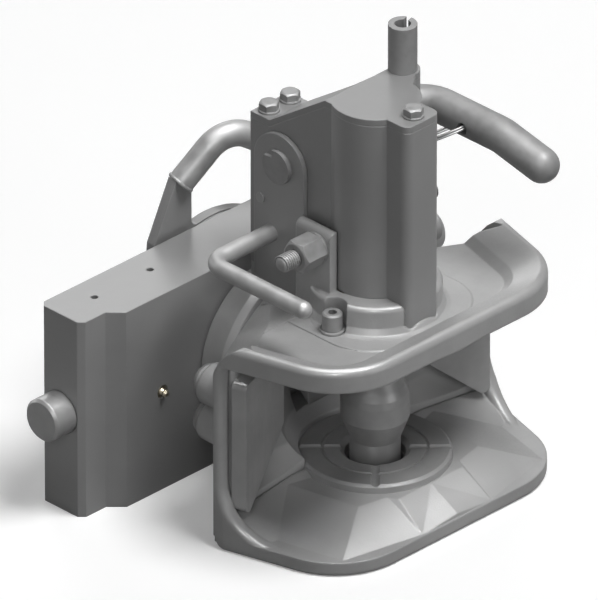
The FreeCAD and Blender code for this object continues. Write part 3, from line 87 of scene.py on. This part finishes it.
class Shading:
    # the nodes of a material or of the world, and the shader that they feed
    bevelSamples = 4
    edgeRange = (0.02, 0.2)     # how far two normals part on a flat face and on a sharp edge

    def __init__(self, owner, shader):
        owner.use_nodes = True
        self.tree = owner.node_tree
        self.shader = self.tree.nodes[shader]

    def add(self, kind, settings=None, inputs=None, output=0):
        node = self.tree.nodes.new(kind)
        for key, value in (settings or {}).items():
            setattr(node, key, value)
        for label, value in (inputs or {}).items():
            self.plug(node.inputs[label], value)
        return Wire(self, node.outputs[output])

    def plug(self, socket, value):
        if isinstance(value, Wire):
            self.tree.links.new(value.socket, socket)
        else:
            socket.default_value = value

    def feed(self, label, value):
        self.plug(self.shader.inputs[label], value)

    def place(self):
        return self.add("ShaderNodeTexCoord", output="Object")

    def noise(self, scale, detail, rough=0.55, stretch=None):
        spot = self.place()
        if stretch:
            spot = self.add("ShaderNodeMapping", inputs={"Vector": spot, "Scale": stretch})
        return self.add("ShaderNodeTexNoise", inputs={"Vector": spot, "Scale": scale, "Detail": detail,
                                                      "Roughness": rough})

    def ramp(self, value, low, high):
        return self.add("ShaderNodeMapRange", {"interpolation_type": "SMOOTHSTEP"},
                        {"Value": value, "From Min": low, "From Max": high})

    def mixColour(self, factor, first, second):
        return self.add("ShaderNodeMix", {"data_type": "RGBA"}, {0: factor, 6: first, 7: second}, output=2)

    def vectorMaths(self, operation, first, second=(0.0, 0.0, 0.0), output=0):
        return self.add("ShaderNodeVectorMath", {"operation": operation}, {0: first, 1: second}, output)

    def softEdges(self, radius):
        return self.add("ShaderNodeBevel", {"samples": self.bevelSamples}, {"Radius": radius})

    def bump(self, height, distance, normal, strength):
        return self.add("ShaderNodeBump", inputs={"Strength": strength, "Distance": distance, "Height": height,
                                                  "Normal": normal})

    # 0 on a flat face, towards 1 along an edge
    def edgeMask(self, radius):
        bevelled = self.softEdges(radius)
        plain = self.add("ShaderNodeNewGeometry", output="Normal")
        return self.ramp(1 - self.vectorMaths("DOT_PRODUCT", bevelled, plain, output=1), *self.edgeRange)


def startFinish(name, values):
    material = bpy.data.materials.new(name)
    finish = Shading(material, "Principled BSDF")
    for label, value in values.items():
        finish.feed(label, value)
    return material, finish


def grey(level):
    return (level, level, level, 1.0)


# Finishes

paintShader = {"Metallic": 0.0, "Specular IOR Level": 0.5, "Coat Weight": 0.25, "Coat Roughness": 0.2}

castPaint = {"base": 0.33, "worn": 0.42, "wornShare": 0.55, "roughness": 0.34, "edge": 0.0016,
             "grain": 900.0, "grainDetail": 2.0, "grainRange": (0.3, 0.7), "grainDepth": 0.00012,
             "grainStrength": 0.5, "grainRoughness": 0.12, "wornRoughness": 0.08,
             "skin": 55.0, "skinDetail": 4.0, "skinRange": (0.35, 0.7), "skinDepth": 0.00035,
             "skinStrength": 0.35, "skinTone": 1.09,
             # these keys paint the lower lip paler round the wear disc, as painted light over the upper lip's
             # shadow and as rubbed paint
             "rubbedAndPaintedLight": 0.47, "rubbedAndPaintedLightCentre": (0.0, -0.106, 0.0), "rubbedAndPaintedLightReach": (0.085, 0.055),
             "rubbedAndPaintedLightWander": 0.012, "rubbedAndPaintedLightTop": -0.022, "rubbedAndPaintedLightFade": 0.002}


def makeCastPaint(name, look):
    material, finish = startFinish(name, paintShader)
    skin = finish.noise(look["skin"], look["skinDetail"])
    grain = finish.noise(look["grain"], look["grainDetail"])
    worn = finish.edgeMask(look["edge"])
    # the lower lip is painted paler round the wear disc: painted light that lifts the upper lip's shadow
    # there, and paint rubbed by the drawbar eye
    spot = finish.place()
    away = finish.vectorMaths("SUBTRACT", spot, look["rubbedAndPaintedLightCentre"])
    reach = finish.vectorMaths("LENGTH", finish.vectorMaths("MULTIPLY", away, (1.0, 1.0, 0.0)), output=1)
    height = finish.add("ShaderNodeSeparateXYZ", inputs={0: spot}, output=2)
    low = finish.ramp(height, look["rubbedAndPaintedLightTop"], look["rubbedAndPaintedLightTop"] - look["rubbedAndPaintedLightFade"])
    rubbedAndPaintedLight = finish.ramp(reach + skin * look["rubbedAndPaintedLightWander"], *look["rubbedAndPaintedLightReach"]) * low
    base = finish.mixColour(finish.ramp(skin, *look["skinRange"]), grey(look["base"]),
                            grey(look["base"] * look["skinTone"]))
    base = finish.mixColour(rubbedAndPaintedLight, base, grey(look["rubbedAndPaintedLight"]))
    finish.feed("Base Color", finish.mixColour(worn * look["wornShare"], base, grey(look["worn"])))
    rough = finish.ramp(grain, *look["grainRange"]) * look["grainRoughness"]
    finish.feed("Roughness", look["roughness"] + rough - worn * look["wornRoughness"])
    fine = finish.bump(grain, look["grainDepth"], finish.softEdges(look["edge"]), look["grainStrength"])
    finish.feed("Normal", finish.bump(skin, look["skinDepth"], fine, look["skinStrength"]))
    return material


platePaint = {"base": 0.25, "dark": 0.96, "pale": 1.05, "worn": 0.34, "wornShare": 0.5,
              "roughness": 0.36, "toneRoughness": 0.07, "edge": 0.0010,
              "peel": 320.0, "peelDetail": 1.5, "peelDepth": 0.00008, "peelStrength": 0.4,
              "tone": 18.0, "toneDetail": 3.0, "toneRange": (0.3, 0.7)}


def makePlatePaint(name, look):
    material, finish = startFinish(name, paintShader)
    peel = finish.noise(look["peel"], look["peelDetail"])
    tone = finish.ramp(finish.noise(look["tone"], look["toneDetail"]), *look["toneRange"])
    worn = finish.edgeMask(look["edge"])
    base = finish.mixColour(tone, grey(look["base"] * look["dark"]), grey(look["base"] * look["pale"]))
    finish.feed("Base Color", finish.mixColour(worn * look["wornShare"], base, grey(look["worn"])))
    finish.feed("Roughness", look["roughness"] + tone * look["toneRoughness"])
    finish.feed("Normal", finish.bump(peel, look["peelDepth"], finish.softEdges(look["edge"]),
                                      look["peelStrength"]))
    return material


turnedSteel = {"base": 0.40, "dark": 0.31, "metal": 0.3, "worn": 1.15, "wornShare": 0.4, "edge": 0.0007,
               "roughness": 0.30, "marks": 900.0, "marksDetail": 2.0, "marksRough": 0.6,
               "marksRange": (0.3, 0.7), "marksRoughness": 0.16, "marksDepth": 0.00004, "marksStrength": 0.5,
               "tone": 40.0, "toneDetail": 3.0, "toneRange": (0.3, 0.75)}

# lathe or grinding marks run across the direction that keeps its full scale
marksAcross = {"X": (1.0, 0.02, 0.02), "Y": (0.02, 1.0, 0.02), "Z": (0.02, 0.02, 1.0),
               "plate": (0.05, 1.0, 0.05), "wire": (0.3, 0.3, 0.3)}


def makeTurnedSteel(name, look, across):
    material, finish = startFinish(name, {"Metallic": look["metal"]})
    marks = finish.noise(1.0, look["marksDetail"], look["marksRough"],
                         [look["marks"] * share for share in marksAcross[across]])
    tone = finish.noise(look["tone"], look["toneDetail"])
    worn = finish.edgeMask(look["edge"])
    base = finish.mixColour(finish.ramp(tone, *look["toneRange"]), grey(look["dark"]), grey(look["base"]))
    finish.feed("Base Color", finish.mixColour(worn * look["wornShare"], base,
                                               grey(look["base"] * look["worn"])))
    rough = finish.ramp(marks, *look["marksRange"]) * look["marksRoughness"]
    finish.feed("Roughness", look["roughness"] + rough)
    finish.feed("Normal", finish.bump(marks, look["marksDepth"], finish.softEdges(look["edge"]),
                                      look["marksStrength"]))
    return material


zincPlate = {"base": 0.38, "dark": 0.30, "metal": 0.2, "worn": 1.2, "wornShare": 0.5, "edge": 0.0006,
             "roughness": 0.36, "spangle": 260.0, "spangleRange": (0.1, 0.6), "spangleRoughness": 0.12,
             "spangleTone": 0.3, "tone": 60.0, "toneDetail": 3.0, "toneRange": (0.35, 0.85),
             "depth": 0.00003, "strength": 0.4}


def makeZinc(name, look):
    material, finish = startFinish(name, {"Metallic": look["metal"]})
    cells = finish.add("ShaderNodeTexVoronoi", {"feature": "SMOOTH_F1"},
                       {"Vector": finish.place(), "Scale": look["spangle"]})
    tone = finish.noise(look["tone"], look["toneDetail"])
    worn = finish.edgeMask(look["edge"])
    base = finish.mixColour(finish.ramp(tone + cells * look["spangleTone"], *look["toneRange"]),
                            grey(look["dark"]), grey(look["base"]))
    finish.feed("Base Color", finish.mixColour(worn * look["wornShare"], base,
                                               grey(look["base"] * look["worn"])))
    rough = finish.ramp(cells, *look["spangleRange"]) * look["spangleRoughness"]
    finish.feed("Roughness", look["roughness"] + rough)
    finish.feed("Normal", finish.bump(tone, look["depth"], finish.softEdges(look["edge"]), look["strength"]))
    return material


bronze = {"base": (0.36, 0.24, 0.12, 1.0), "dark": (0.26, 0.17, 0.09, 1.0), "metal": 0.9, "roughness": 0.34,
          "toneRoughness": 0.1, "tone": 120.0, "toneDetail": 3.0, "toneRange": (0.3, 0.7), "edge": 0.0004,
          "depth": 0.00004, "strength": 0.4}
paleBrass = bronze | {"base": (0.42, 0.38, 0.29, 1.0), "dark": (0.32, 0.29, 0.23, 1.0), "roughness": 0.28}


def makeYellowMetal(name, look):
    material, finish = startFinish(name, {"Metallic": look["metal"]})
    tone = finish.noise(look["tone"], look["toneDetail"])
    finish.feed("Base Color", finish.mixColour(finish.ramp(tone, *look["toneRange"]), look["dark"],
                                               look["base"]))
    finish.feed("Roughness", look["roughness"] + tone * look["toneRoughness"])
    finish.feed("Normal", finish.bump(tone, look["depth"], finish.softEdges(look["edge"]), look["strength"]))
    return material


def paint(material, *names):
    for name in names:
        slots = nodes[name].data.materials
        slots.clear()
        slots.append(material)


finishes = {
    "cast": makeCastPaint("greyCastPaint", castPaint),
    "housing": makePlatePaint("greyHousingPaint", platePaint),
    "carrier": makePlatePaint("greyCarrierPaint", platePaint | {"base": 0.28, "peel": 240.0}),
    "turnedX": makeTurnedSteel("steelTurnedAlongX", turnedSteel, "X"),
    "turnedY": makeTurnedSteel("steelTurnedAlongY", turnedSteel, "Y"),
    "turnedZ": makeTurnedSteel("steelTurnedAlongZ", turnedSteel, "Z"),
    # the wear parts' steel, with grinding marks across the plate, is a paler copy of the turned steel: painted
    # light that lifts the shadow over the wear disc
    "wear": makeTurnedSteel("wearSteel", turnedSteel | {"base": 0.42, "dark": 0.35, "metal": 0.15}, "plate"),
    "bar": makeZinc("platedBar", zincPlate | {"spangle": 140.0, "roughness": 0.40}),
    # the hand lever and remote tube take a darker copy of the plated bar finish: painted shade that dims their
    # broad highlight
    "gripPaintedShade": makeZinc("platedGripPaintedShade", zincPlate | {"base": 0.27, "dark": 0.21, "metal": 0.05, "roughness": 0.48}),
    "fastener": makeZinc("zincFastener", zincPlate | {"base": 0.27, "dark": 0.20, "roughness": 0.48}),
    "ring": makeZinc("platedRing", zincPlate | {"base": 0.5, "dark": 0.42, "roughness": 0.28}),
    "spring": makeTurnedSteel("springSteel", turnedSteel | {"base": 0.16, "dark": 0.10}, "wire"),
    "bronze": makeYellowMetal("bronze", bronze),
    "brass": makeYellowMetal("paleBrass", paleBrass),
}

paint(finishes["cast"], "jaw_casting")
paint(finishes["housing"], "mechanism_housing", "housing_cover")
paint(finishes["carrier"], "carrier_plate", "rear_cap", "locking_lever", "release_plate")
paint(finishes["turnedX"], "locking_pin_left", "locking_pin_right", "cross_pin", "release_pin", "trigger_pin",
      "shaft_ring")
paint(finishes["turnedY"], "drive_pin_left", "drive_pin_right", "lever_retainer", "swivel_nut")
paint(finishes["turnedZ"], "coupling_pin", "nut_lock_pin", "crank_key")
paint(finishes["wear"], "wear_disc", "wear_plate_left", "wear_plate_right", "crank_arm", "pawl", "trigger")
paint(finishes["bar"], "locking_handle", "release_rod", "pull_ring")
paint(finishes["gripPaintedShade"], "hand_lever", "remote_tube")
paint(finishes["fastener"], "cap_screws", "retainer_screws", "wear_plate_bolts", "cover_screws", "ear_studs",
      "ear_nuts", "side_bolt", "lip_screw", "lip_washer")
paint(finishes["spring"], "locking_spring_left", "locking_spring_right", "return_spring",
      "swivel_spring_washer")
paint(finishes["bronze"], "swivel_bush", "pin_bush", "shaft_bush_left", "shaft_bush_right")
paint(finishes["brass"], "grease_nipples")
print("finishes: every frame node painted")


# Pieces that the scene adds

mergeReach = 0.000002


def keep(bm, name, material, body):
    # a finished piece, with its place in its mesh, riding on a CAD body
    bmesh.ops.remove_doubles(bm, verts=bm.verts, dist=mergeReach)
    bmesh.ops.recalc_face_normals(bm, faces=bm.faces)
    mesh = bpy.data.meshes.new(name)
    bm.to_mesh(mesh)
    bm.free()
    mesh.materials.append(material)
    mesh.shade_smooth()
    piece = bpy.data.objects.new(name, mesh)
    scene.collection.objects.link(piece)
    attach(piece, body)
    return piece


def addLine(bm, points, closed=False):
    verts = [bm.verts.new(p) for p in points]
    ends = verts[1:] + verts[:1] if closed else verts[1:]
    return verts + [bm.edges.new(pair) for pair in zip(verts, ends)]


def coil(bm, outline, centre, axis, turns, pitch, steps):
    # the outline runs round the axis and along it, and its two ends are closed
    bmesh.ops.spin(bm, geom=outline, cent=centre, axis=axis, dvec=Vector(axis) * (pitch / steps),
                   angle=math.tau * turns, steps=int(turns * steps), use_merge=False, use_duplicate=False)
    rim = [e for e in bm.edges if len(e.link_faces) == 1]
    bmesh.ops.holes_fill(bm, edges=rim)


def lathe(bm, line, centre, axis, steps):
    bmesh.ops.spin(bm, geom=line, cent=centre, axis=axis, angle=math.tau, steps=steps, use_merge=True,
                   use_duplicate=False)


# threaded studs that hold the housing between the ears; a ridge's foot and crest are shares of half a pitch
stud = {"y": -0.0920, "z": 0.0980, "radius": 0.0050, "root": 0.00445, "outer": 0.0590, "inner": 0.0270,
        "tip": 0.0013, "tipSlope": 0.8, "steps": 28, "turns": 7, "pitch": 0.0015, "threadStart": 0.7,
        "foot": 0.92, "crest": 0.16, "sunk": 0.0002}


def makeStuds(look):
    y = look["y"]
    z = look["z"]
    middle = (0, y, z)
    axis = (1, 0, 0)
    root = y + look["root"]
    bm = bmesh.new()
    for side in (-1, 1):
        outer = side * look["outer"]
        inner = side * look["inner"]
        tip = outer - side * look["tip"]
        line = addLine(bm, [(inner, y, z), (inner, root, z), (tip, root, z),
                            (outer, root - look["tip"] * look["tipSlope"], z), (outer, y, z)])
        lathe(bm, line, middle, axis, look["steps"])
    cores = keep(bm, "ear_stud_cores", finishes["fastener"], "jaw")
    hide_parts("ear_studs")

    bm = bmesh.new()
    first = look["outer"] - look["tip"] * look["threadStart"]
    foot = look["pitch"] / 2 * look["foot"]
    crest = look["pitch"] / 2 * look["crest"]
    low = root - look["sunk"]
    high = y + look["radius"]
    for start in (-first, first - look["pitch"] * look["turns"]):
        ridge = addLine(bm, [(start - foot, low, z), (start - crest, high, z), (start + crest, high, z),
                             (start + foot, low, z)], True)
        coil(bm, ridge, middle, axis, look["turns"], look["pitch"], look["steps"])
    keep(bm, "ear_stud_threads", finishes["fastener"], "jaw")
    print("studs: cores and threads")


# split ring of two turns in the hand lever; its section is a rounded rectangle
splitRing = {"hole": (0.0840, -0.0980, 0.1313), "lean": 32.0, "out": 0.01973, "radius": 0.0210,
             "wide": 0.0030, "thick": 0.00125, "sides": 12, "rounding": 0.6, "pitch": 0.0013, "turns": 2.0,
             "steps": 64}


def makeSplitRing(look):
    lean = math.radians(look["lean"])
    right = Vector((1, 0, 0))
    along = Vector((0, math.cos(lean), -math.sin(lean)))
    across = Vector((0, math.sin(lean), math.cos(lean)))
    middle = Vector(look["hole"]) + along * look["out"]
    start = middle + right * look["radius"] - across * (look["pitch"] * look["turns"] / 2)
    outline = []
    for i in range(look["sides"]):
        turn = math.tau * i / look["sides"]
        wide = math.copysign(abs(math.cos(turn)) ** look["rounding"], math.cos(turn)) * look["wide"] / 2
        thick = math.copysign(abs(math.sin(turn)) ** look["rounding"], math.sin(turn)) * look["thick"] / 2
        outline.append(start + right * wide + across * thick)
    bm = bmesh.new()
    coil(bm, addLine(bm, outline, True), middle, across, look["turns"], look["pitch"], look["steps"])
    ring = keep(bm, "split_ring", finishes["ring"], "pull_ring")
    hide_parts("pull_ring")
    print("split ring: two turns")


# weld bead where the locking handle's bar meets the lever's arm
handleWeld = {"place": (-0.0215, 0.0217, 0.0884), "axis": (0.656, -0.229, 0.719), "radius": 0.0070,
              "bead": 0.0012, "flatness": 0.8, "sides": 10, "ripple": 0.00014, "waves": 18, "steps": 72}


def makeHandleWeld(look):
    axis = Vector(look["axis"]).normalized()
    side = axis.orthogonal().normalized()
    centre = Vector(look["place"])
    outline = []
    for i in range(look["sides"]):
        turn = math.tau * i / look["sides"]
        outline.append(centre + side * (look["radius"] + math.cos(turn) * look["bead"] * look["flatness"])
                       + axis * math.sin(turn) * look["bead"])
    bm = bmesh.new()
    lathe(bm, addLine(bm, outline, True), centre, axis, look["steps"])
    for vert in bm.verts:
        out = vert.co - centre
        out -= axis * out.dot(axis)
        turn = math.atan2(out.dot(side.cross(axis)), out.dot(side))
        vert.co += out.normalized() * (math.sin(turn * look["waves"]) * look["ripple"])
    keep(bm, "handle_weld", finishes["carrier"], "locking_lever")
    print("weld bead: done")


makeStuds(stud)
makeSplitRing(splitRing)
makeHandleWeld(handleWeld)


# Floor, light and camera. Each lamp and glint card has a name, a place, a size and a power.

middleOfPart = (0, -0.06, 0.04)

floorLook = {"level": cadBox[0].z, "radius": 6.0, "sides": 96, "tone": 0.93, "faint": 0.99, "grain": 3.0,
             "grainDetail": 2.0, "bounce": 0.16, "lift": 0.16, "mirrored": 0.35}
floorShader = {"Roughness": 0.9, "Specular IOR Level": 0.1, "Emission Strength": 1.0}
worldLook = {"light": 0.05, "seen": 1.0, "mirrored": 0.40}
lamps = [("overhead", (0.30, -1.05, 2.70), 1.3, 66.0),
         ("left", (-1.64, -0.98, 1.09), 1.0, 6.0),
         ("lowFront", (0.35, -2.0, 0.35), 1.0, 5.5),
         ("behind", (1.1, 1.7, 0.9), 1.2, 11.0),
         ("lowBack", (-0.5, 2.1, 0.25), 1.0, 7.0)]
glints = [("besideCamera", (-1.6, -1.6, 1.65), 0.45, 45.0),
          ("aboveCard", (0.15, -0.2, 2.8), 2.6, 230.0)]


def makeFloor(look):
    bm = bmesh.new()
    bmesh.ops.create_circle(bm, cap_ends=True, segments=look["sides"], radius=look["radius"])
    bmesh.ops.translate(bm, verts=bm.verts, vec=(0, 0, look["level"]))
    mesh = bpy.data.meshes.new("studioFloor")
    bm.to_mesh(mesh)
    bm.free()
    floor = bpy.data.objects.new("studioFloor", mesh)
    scene.collection.objects.link(floor)
    # the camera and mirrors see a pale floor, and less of its light is thrown back on the part
    material, finish = startFinish("paleFloor", floorShader)
    tone = finish.noise(look["grain"], look["grainDetail"])
    pale = finish.mixColour(tone, grey(look["tone"]), grey(look["tone"] * look["faint"]))
    seen = finish.add("ShaderNodeLightPath", output="Is Camera Ray")
    mirrored = finish.add("ShaderNodeLightPath", output="Is Glossy Ray")
    through = finish.add("ShaderNodeLightPath", output="Is Transmission Ray")
    finish.feed("Base Color", finish.mixColour(seen + mirrored * look["mirrored"] + through,
                                               grey(look["bounce"]), pale))
    finish.feed("Emission Color", finish.mixColour(seen, grey(0.0), grey(look["lift"])))
    mesh.materials.append(material)


def makeLamp(name, place, size, power):
    data = bpy.data.lights.new(name, "AREA")
    data.shape = "DISK"
    data.size = size
    data.energy = power
    lamp = bpy.data.objects.new(name, data)
    lamp.location = place
    lamp.rotation_mode = "QUATERNION"
    lamp.rotation_quaternion = (Vector(middleOfPart) - lamp.location).to_track_quat("-Z", "Y")
    scene.collection.objects.link(lamp)
    return lamp


def makeWorld(look):
    world = bpy.data.worlds.new("studioWorld")
    sky = Shading(world, "Background")
    toCamera = sky.add("ShaderNodeLightPath", output="Is Camera Ray")
    toMirror = sky.add("ShaderNodeLightPath", output="Is Glossy Ray")
    seen = toCamera * (look["seen"] - look["light"]) + look["light"]
    mirrored = toMirror * look["mirrored"]
    sky.feed("Color", grey(1.0))
    sky.feed("Strength", seen.combine("MAXIMUM", mirrored))
    scene.world = world


# the photograph is in parallel projection, so the camera stands far off with a long lens
camera = {"azimuth": -45.0, "elevation": 30.0, "lens": 1500.0, "sensor": 36.0, "pixelsPerMetre": 1840.0,
          "frame": (598, 600), "originPixel": (237.2, 323.4), "depth": -0.06, "near": 0.5, "farTimes": 4}


def makeCamera(look):
    azimuth = math.radians(look["azimuth"])
    elevation = math.radians(look["elevation"])
    back = Vector((math.sin(azimuth) * math.cos(elevation), -math.cos(azimuth) * math.cos(elevation),
                   math.sin(elevation)))
    right = Vector((math.cos(azimuth), math.sin(azimuth), 0))
    up = back.cross(right)
    width, height = look["frame"]
    sideways = (width / 2 - look["originPixel"][0]) / look["pixelsPerMetre"]
    upwards = (look["originPixel"][1] - height / 2) / look["pixelsPerMetre"]
    target = right * sideways + up * upwards + Vector((0, look["depth"], 0)).project(back)
    distance = height / look["pixelsPerMetre"] * look["lens"] / look["sensor"]
    data = bpy.data.cameras.new("photoCamera")
    data.lens = look["lens"]
    data.sensor_width = look["sensor"]
    data.clip_start = look["near"]
    data.clip_end = distance * look["farTimes"]
    viewer = bpy.data.objects.new("photoCamera", data)
    viewer.location = target + back * distance
    viewer.rotation_mode = "QUATERNION"
    viewer.rotation_quaternion = (-back).to_track_quat("-Z", "Y")
    scene.collection.objects.link(viewer)
    scene.camera = viewer


makeFloor(floorLook)
for lamp in lamps:
    makeLamp(*lamp)
# only glossy surfaces see the glint cards, which draw the bright lines along rounded edges
for card in glints:
    makeLamp(*card).visible_diffuse = False
makeWorld(worldLook)
makeCamera(camera)
scene.view_settings.view_transform = "Standard"
print("studio: floor, lamps and camera in place")
